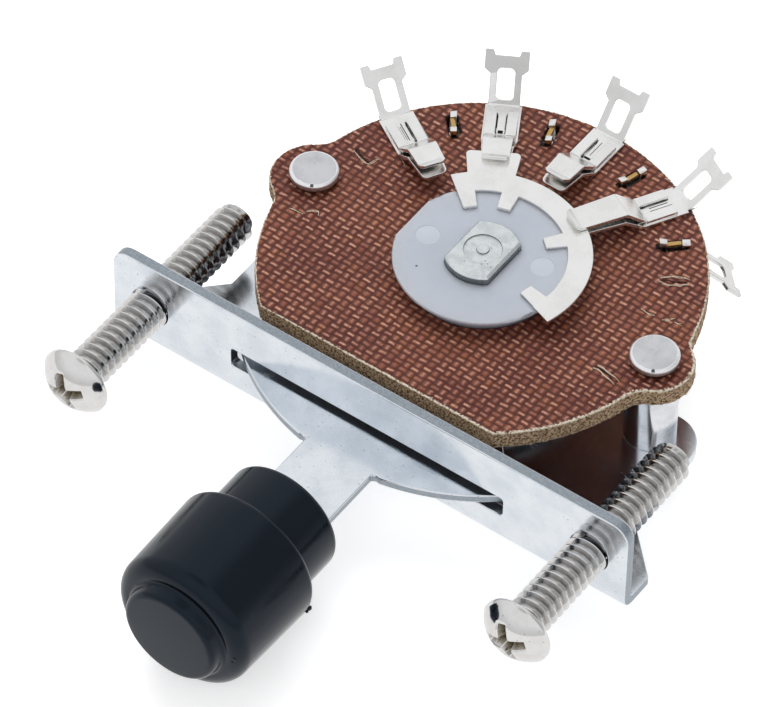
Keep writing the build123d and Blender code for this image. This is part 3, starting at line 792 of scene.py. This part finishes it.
def clinched(clip, seed):
    """The feet above the board are knocked a little out of line."""
    spread = random.Random(seed)
    turn = math.radians(spread.uniform(-12, 12))
    lean = spread.uniform(-0.15, 0.15)
    feet = [vertex for vertex in clip.data.vertices if vertex.co.z > board_top]
    middle = sum((vertex.co for vertex in feet), Vector()) / len(feet)
    for vertex in feet:
        off = vertex.co - middle
        rise = (vertex.co.z - board_top) / foot_height
        vertex.co.x = middle.x + (off.x * math.cos(turn) - off.y * math.sin(turn)) * foot_share
        vertex.co.y = middle.y + (off.x * math.sin(turn) + off.y * math.cos(turn)) * foot_share
        vertex.co.z += (off.x * lean + abs(off.y) * 0.1) * rise


def lug_painted_shade(clip, share):
    """Paints shade on the soldering lug beyond the board, a painted dim reflection that leaves it darker than
    the clip.
    """
    middle = Vector((0, pivot_y))
    mark_faces(clip, "painted_shade", lambda face: share if (face.center.xy - middle).length > lug_start else 0.0)


foot_share = 0.76
foot_height = 0.3 * mm
foot_bar_place = (-0.05 * mm, 0.03 * mm)
foot_bar_size = (1.2 * mm, 0.38 * mm, 0.3 * mm)
foot_bar_rise = 0.12 * mm
foot_hole_shade_place = (-1.28 * mm, 0.1 * mm)
foot_hole_shade_size = (0.36 * mm, 0.5 * mm, 0.06 * mm)
lug_start = 17.6 * mm
lower_lug_share = 0.15
upper_lug_shares = (0.12, 0.30, 0.15, 0.04)
clips = zip(upper_angles, lower_angles, upper_lug_shares, shaded_staple_slits)
for number, (upper_angle, lower_angle, upper_lug_share, slits) in enumerate(clips, start=1):
    clip = metal_piece(f"upper_terminal_{number}", silver, clip_edge)
    lug_painted_shade(clip, upper_lug_share)
    # The staple slits are thin dark bars of painted shade.
    for along, across, length, width in slits:
        bar_on(clip, upper_angle, along * mm, across * mm, (length * mm, width * mm, shade_bar_height),
               staple_top, painted_shade=1.0)
    clip = metal_piece(f"lower_terminal_{number}", silver, clip_edge,
                       cut=lambda middle, normal: middle.z > board_top and abs(normal.z) < 0.5)
    lug_painted_shade(clip, lower_lug_share)
    clinched(clip, number)
    bar_on(clip, lower_angle, *foot_bar_place, foot_bar_size, board_top + foot_bar_rise, cut_edge_and_painted_light=1.0)
    # A dark bar of painted shade fills the hole beside the feet.
    bar_on(clip, lower_angle, *foot_hole_shade_place, foot_hole_shade_size, board_top, painted_shade=1.0)

# Rivets
# Steel rivets with flat matte heads and a narrow rim with a painted highlight, which clamp the wafer on the
# spacer posts. The rim of each upper head has a spot of painted dark reflection, and under the head is
# painted shadow.

rivet_edge = 0.06 * mm
rivet_top = 5.55 * mm
rim_depth = 0.4 * mm
dark_spot_off = Vector((0.50, -0.86)) * 1.78 * mm
dark_spot_reach = 0.16 * mm
# Its nearly white second colour is a painted highlight on the rims.
rivet_steel = plated_metal("rivet_steel", (0.70, 0.71, 0.73), (0.60, 0.61, 0.63), 0.34, 0.46,
                           cloud_scale=500.0, cut_edge_and_painted_light=(0.96, 0.96, 0.97))


def on_painted_highlight_rim(middle, normal):
    return 0.35 < normal.z < 0.98 and middle.z > rivet_top - rim_depth


def rivet_shade(face, dark_spot):
    """Share of painted shade on a face: the painted dark reflection spot on the rim, and painted shadow under
    the upper head.
    """
    if 0.3 < face.normal.z < 0.98 and (face.center.xy - dark_spot).length < dark_spot_reach:
        return 0.9
    return 0.8 if face.normal.z < -0.1 and face.center.z > board_top else 0.0


for side in ("left", "right"):
    node = "wafer_rivet_" + side
    low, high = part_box(node)
    dark_spot = Vector(((low.x + high.x) / 2, pivot_y)) + dark_spot_off
    rivet = metal_piece(node, rivet_steel, rivet_edge, cut=on_painted_highlight_rim)
    mark_faces(rivet, "painted_shade", lambda face: rivet_shade(face, dark_spot))

# Mounting screws
# Nickel plated machine screws with domed cross recess heads, half way into the strip's tapped holes.
# Their threads are rolled: narrow bright crests with wide roots between them, darkened by painted shade.
# The driver recess shows a painted dark, brownish reflection.

screw_length = 20.7 * mm
thread_pitch = 0.794 * mm
thread_depth = 0.42 * mm
crest_width = 0.09 * mm
root_width = 0.42 * mm
root_shade = 0.28
thread_steps = 48
thread_radius = 1.74 * mm
tip_slope = 0.8
tip_margin = 0.04 * mm
head_overlap = 0.04 * mm
head_edge = 0.12 * mm
recess_reach = 1.75 * mm
recess_from = 0.55 * mm
recess_to = 1.9 * mm
nickel = plated_metal("nickel_plating", (0.77, 0.76, 0.75), (0.71, 0.70, 0.685), 0.07, 0.13,
                      cloud_scale=700.0, cut_edge_and_painted_light=(0.34, 0.29, 0.19))


def closed_ends():
    """Joins the cut edges of the mesh being edited and closes the holes between them."""
    bpy.ops.mesh.select_all(action='SELECT')
    bpy.ops.mesh.remove_doubles(threshold=0.001 * mm)
    bpy.ops.mesh.fill_holes(sides=0)
    bpy.ops.mesh.select_all(action='SELECT')
    bpy.ops.mesh.normals_make_consistent(inside=False)


def threaded_rod(name, head_side, tip, radius):
    """Rod along Y with a rolled thread, cut flat at both ends. Its tip is a short cone, and its roots get
    painted shade.
    """
    length = tip - head_side
    root = radius - thread_depth
    flank = (thread_pitch - crest_width - root_width) / 2
    profile = [(root, 0.0), (radius, flank), (radius, flank + crest_width),
               (root, thread_pitch - root_width), (root, thread_pitch)]
    mesh = bpy.data.meshes.new(name)
    mesh.from_pydata([(r, 0.0, z) for r, z in profile], [(0, 1), (1, 2), (2, 3), (3, 4)], [])
    rod = bpy.data.objects.new(name, mesh)
    bpy.context.collection.objects.link(rod)
    winding = rod.modifiers.new("winding", 'SCREW')
    winding.screw_offset = thread_pitch
    winding.iterations = math.ceil(length / thread_pitch) + 2
    winding.steps = thread_steps
    winding.render_steps = thread_steps
    winding.use_merge_vertices = True
    winding.merge_threshold = 0.002 * mm
    apply_modifiers(rod)
    rod.data.transform(Matrix.Translation((0, 0, -thread_pitch)))
    only(rod)
    bpy.ops.object.mode_set(mode='EDIT')
    bpy.ops.mesh.select_all(action='SELECT')
    bpy.ops.mesh.remove_doubles(threshold=0.003 * mm)
    for height, inner in ((0.0, True), (length, False)):
        bpy.ops.mesh.select_all(action='SELECT')
        bpy.ops.mesh.bisect(plane_co=(0, 0, height), plane_no=(0, 0, 1),
                            clear_inner=inner, clear_outer=not inner)
    closed_ends()
    bpy.ops.object.mode_set(mode='OBJECT')
    shares = []
    for vertex in rod.data.vertices:
        most = root + tip_margin + (length - vertex.co.z) * tip_slope
        if vertex.co.xy.length > most:
            vertex.co.xy *= most / vertex.co.xy.length
        sunk = (radius - vertex.co.xy.length) / thread_depth
        shares.append(min(1.0, max(0.0, sunk)) * root_shade)
    bpy.ops.object.shade_smooth_by_angle(angle=math.radians(40))
    share_attribute(rod.data, "painted_shade", shares)
    rod.data.transform(Matrix.Translation((0, head_side, 0)) @ Matrix.Rotation(math.radians(-90), 4, 'X'))
    return rod


def in_recess(place, low, high):
    """Whether a place on the head lies inside the driver recess, below the dome."""
    off = Vector((place.x - (low.x + high.x) / 2, place.z - (low.z + high.z) / 2)).length
    return off < recess_reach and low.y + recess_from < place.y < low.y + recess_to


for side in ("left", "right"):
    node = "mounting_screw_" + side
    low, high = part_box(node)
    head_side = high.y - screw_length
    rod = threaded_rod(node + "_thread", head_side, high.y, thread_radius)
    rod.data.transform(Matrix.Translation(((low.x + high.x) / 2, 0, 0)))
    head = joined_copy(node, node + "_finished")
    only(head)
    bpy.ops.object.mode_set(mode='EDIT')
    bpy.ops.mesh.select_all(action='SELECT')
    bpy.ops.mesh.bisect(plane_co=(0, head_side - head_overlap, 0), plane_no=(0, 1, 0), clear_outer=True)
    closed_ends()
    bpy.ops.object.mode_set(mode='OBJECT')
    break_edges(head, head_edge)
    # The driver recess takes nickel's second colour, a painted dark, brownish reflection.
    sunk = [float(in_recess(vertex.co, low, high)) for vertex in head.data.vertices]
    share_attribute(head.data, "cut_edge_and_painted_light", sunk)
    only(head)
    rod.select_set(True)
    bpy.ops.object.join()
    stands_for(head, node, nickel)

# Floor, light and camera
# The object rests on a white floor, under two soft boxes and a pale room. The camera stands where the
# picture was taken.

floor_size = 2.4
floor_glow = 0.56
mirrored_floor = 0.9
view_azimuth = 35.006
view_elevation = 48.954
view_roll = 1.051
camera_place = (184.52 * mm, -261.48 * mm, 376.22 * mm)
picture_width = 763
focal_pixels = 6474.43
sensor_width = 36.0


def floor_material():
    """Matt white paper with the object's shadow, raised to white for the camera and in mirrors."""
    material, tree, shader = new_material("white_floor")
    shader.inputs["Roughness"].default_value = 0.9
    path = node_in(tree, "ShaderNodeLightPath").outputs
    paper = node_in(tree, "ShaderNodeTexNoise", [("Scale", 900.0)]).outputs["Fac"]
    shade = blend_colours(tree, paper, (0.92, 0.92, 0.93, 1.0), (0.94, 0.94, 0.95, 1.0))
    tree.links.new(shade, shader.inputs["Base Color"])
    seen = reckon(tree, 'MULTIPLY', path["Is Camera Ray"], floor_glow)
    mirrored = reckon(tree, 'MAXIMUM', path["Is Glossy Ray"], path["Is Transmission Ray"])
    mirrored = reckon(tree, 'MULTIPLY', mirrored, mirrored_floor)
    glow = node_in(tree, "ShaderNodeEmission", [("Strength", seen)]).outputs[0]
    both = node_in(tree, "ShaderNodeAddShader", [(0, shader.outputs[0]), (1, glow)]).outputs[0]
    bright = node_in(tree, "ShaderNodeEmission", [("Strength", 1.0)]).outputs[0]
    mixed = node_in(tree, "ShaderNodeMixShader", [("Fac", mirrored), (1, both), (2, bright)])
    tree.links.new(mixed.outputs[0], tree.nodes["Material Output"].inputs["Surface"])
    return material


bpy.ops.object.select_all(action='DESELECT')
bpy.ops.mesh.primitive_plane_add(size=floor_size, location=(0, 0, cad_box[0].z))
floor = bpy.context.active_object
floor.name = "floor"
floor.data.materials.append(floor_material())


def soft_box(name, direction, distance, size, level):
    """Square lamp that faces the object. Mirrors show the studio in its place, so metals stay unclipped."""
    lamp = bpy.data.lights.new(name, 'AREA')
    lamp.shape = 'SQUARE'
    lamp.size = size
    lamp.energy = level * math.pi * size ** 2
    holder = bpy.data.objects.new(name, lamp)
    bpy.context.collection.objects.link(holder)
    towards = Vector(direction).normalized()
    holder.location = towards * distance
    holder.rotation_euler = towards.to_track_quat('Z', 'Y').to_euler()
    holder.visible_glossy = False


soft_box("back_left_box", (-0.45, 0.55, 0.75), 0.6, 0.62, 2.5)
soft_box("front_box", (0.35, -0.75, 0.9), 0.8, 0.5, 1.4)


def studio_world():
    """White for the camera, and a plain level for matt surfaces. Mirrors show a pale room that is dim on
    one side and above."""
    world = bpy.data.worlds.new("studio")
    world.use_nodes = True
    sky = world.node_tree
    path = node_in(sky, "ShaderNodeLightPath").outputs
    direction = node_in(sky, "ShaderNodeTexCoord").outputs["Generated"]
    to_dim = reckon_vector(sky, 'DOT_PRODUCT', direction, dim_side)["Value"]
    dim = from_range(sky, to_dim, 0.80, 0.97)
    up = node_in(sky, "ShaderNodeSeparateXYZ", [("Vector", direction)]).outputs["Z"]
    room = from_range(sky, up, 0.0, 0.55, *room_levels)
    room = reckon(sky, 'MULTIPLY_ADD', from_range(sky, up, 0.93, 0.998), -top_drop, room)
    mirrored = reckon(sky, 'MULTIPLY_ADD', dim, -side_drop, room)
    mirrored = reckon(sky, 'MULTIPLY', mirrored, path["Is Glossy Ray"])
    matt = reckon(sky, 'MULTIPLY', reckon(sky, 'SUBTRACT', 1.0, path["Is Glossy Ray"]), matt_level)
    level = reckon(sky, 'MAXIMUM', path["Is Camera Ray"], reckon(sky, 'MAXIMUM', mirrored, matt))
    background = sky.nodes["Background"]
    background.inputs["Color"].default_value = room_colour
    sky.links.new(level, background.inputs["Strength"])
    return world


dim_side = (0.62, 0.54, 0.57)
room_levels = (0.70, 0.90)
top_drop = 0.32
side_drop = 0.38
matt_level = 0.36
room_colour = (0.98, 0.985, 1.0, 1.0)
bpy.context.scene.world = studio_world()

camera = bpy.data.cameras.new("camera")
camera.sensor_width = sensor_width
camera.lens = sensor_width * focal_pixels / picture_width
camera.clip_start = 0.05
camera.clip_end = 10.0
stand = bpy.data.objects.new("camera", camera)
bpy.context.collection.objects.link(stand)
turn = Matrix.Rotation(math.radians(view_azimuth), 4, 'Z')
tip_down = Matrix.Rotation(math.radians(90 - view_elevation), 4, 'X')
roll = Matrix.Rotation(math.radians(view_roll), 4, 'Z')
stand.matrix_world = Matrix.Translation(camera_place) @ turn @ tip_down @ roll
bpy.context.scene.camera = stand
bpy.context.scene.view_settings.view_transform = 'Standard'

bpy.context.view_layer.update()
